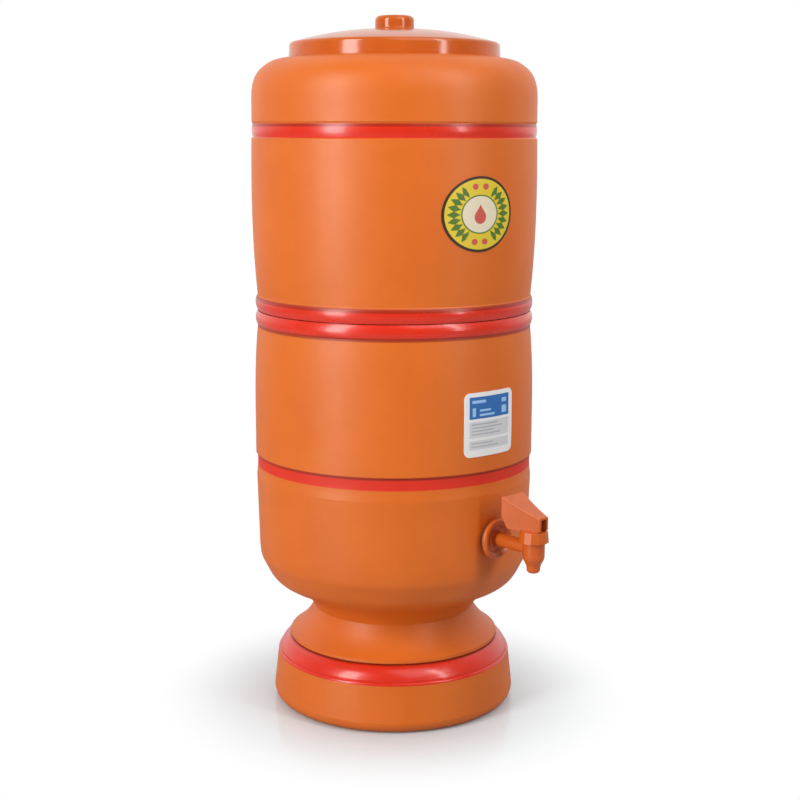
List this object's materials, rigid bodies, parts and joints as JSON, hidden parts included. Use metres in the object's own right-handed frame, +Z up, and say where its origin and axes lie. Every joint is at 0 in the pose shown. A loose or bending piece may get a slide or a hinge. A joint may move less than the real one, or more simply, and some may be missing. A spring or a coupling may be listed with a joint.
{
  "type": "gravity water filter",
  "caption": "Round gravity water filter: stacked clay vessels on a pedestal foot, domed lid with knob, candle and float valve inside, lever tap with a downward spout.",
  "frame": {"origin": "middle of the foot ring, on the floor", "axes": "+Z up along the axis of both vessels, -Y towards the tap"},
  "size_m": [0.223, 0.2732, 0.5453],
  "materials": {
    "clay": "fired clay with a thin satin colour coat, bands painted glossy red",
    "lid_plastic": "glossy moulded plastic",
    "tap_plastic": "semi-gloss moulded plastic",
    "stem_plastic": "plain moulded plastic",
    "float_plastic": "plain moulded plastic",
    "candle_ceramic": "unglazed porous ceramic",
    "carbon": "pressed carbon block",
    "rubber": "matt",
    "steel": "drawn wire",
    "label": null
  },
  "bodies": {
    "lower": {"lower_chamber": "clay", "lower_foot": "clay", "info_label": "label", "tap_body": "tap_plastic", "tap_outer_gasket": "rubber", "tap_inner_gasket": "rubber", "tap_nut": "tap_plastic", "tap_bonnet": "tap_plastic", "tap_spring": "steel"},
    "upper": {"upper_chamber": "clay", "crest_label": "label", "candle_base": "stem_plastic", "candle_shell": "candle_ceramic", "candle_carbon": "carbon", "candle_gasket": "rubber", "candle_washer": "stem_plastic", "candle_nut": "stem_plastic", "float_valve_body": "stem_plastic", "float_pin": "steel"},
    "lid": {"lid": "lid_plastic"},
    "float": {"float_arm": "stem_plastic", "float_pad": "rubber", "float_bulb": "float_plastic"},
    "plunger": {"tap_stem": "stem_plastic", "tap_seal": "rubber", "tap_pin": "steel"},
    "lever": {"tap_lever": "tap_plastic"}
  },
  "joints": [
    {"name": "upper_lift", "type": "slide", "parent": "lower", "child": "upper", "axis": [0, 0, 1], "range_m": [0, 0.13]},
    {"name": "lid_lift", "type": "slide", "parent": "upper", "child": "lid", "axis": [0, 0, 1], "range_m": [0, 0.06]},
    {"name": "float_swing", "type": "hinge", "parent": "upper", "child": "float", "pos_m": [0, -0.014, 0.25895], "axis": [1, 0, 0], "range_deg": [0, 30]},
    {"name": "stem_lift", "type": "slide", "parent": "lower", "child": "plunger", "axis": [0, 0, 1], "range_m": [0, 0.00391], "stiffness_N_per_m": 40, "springref_m": -0.003, "deforming": ["tap_spring"]},
    {"name": "lever_turn", "type": "hinge", "parent": "plunger", "child": "lever", "pos_m": [0, -0.1504, 0.17005], "axis": [1, 0, 0], "range_deg": [0, 42]}
  ],
  "couplings": [
    {"joint": "lever_turn", "follows": "stem_lift", "rad_per_m": 178.57}
  ]
}
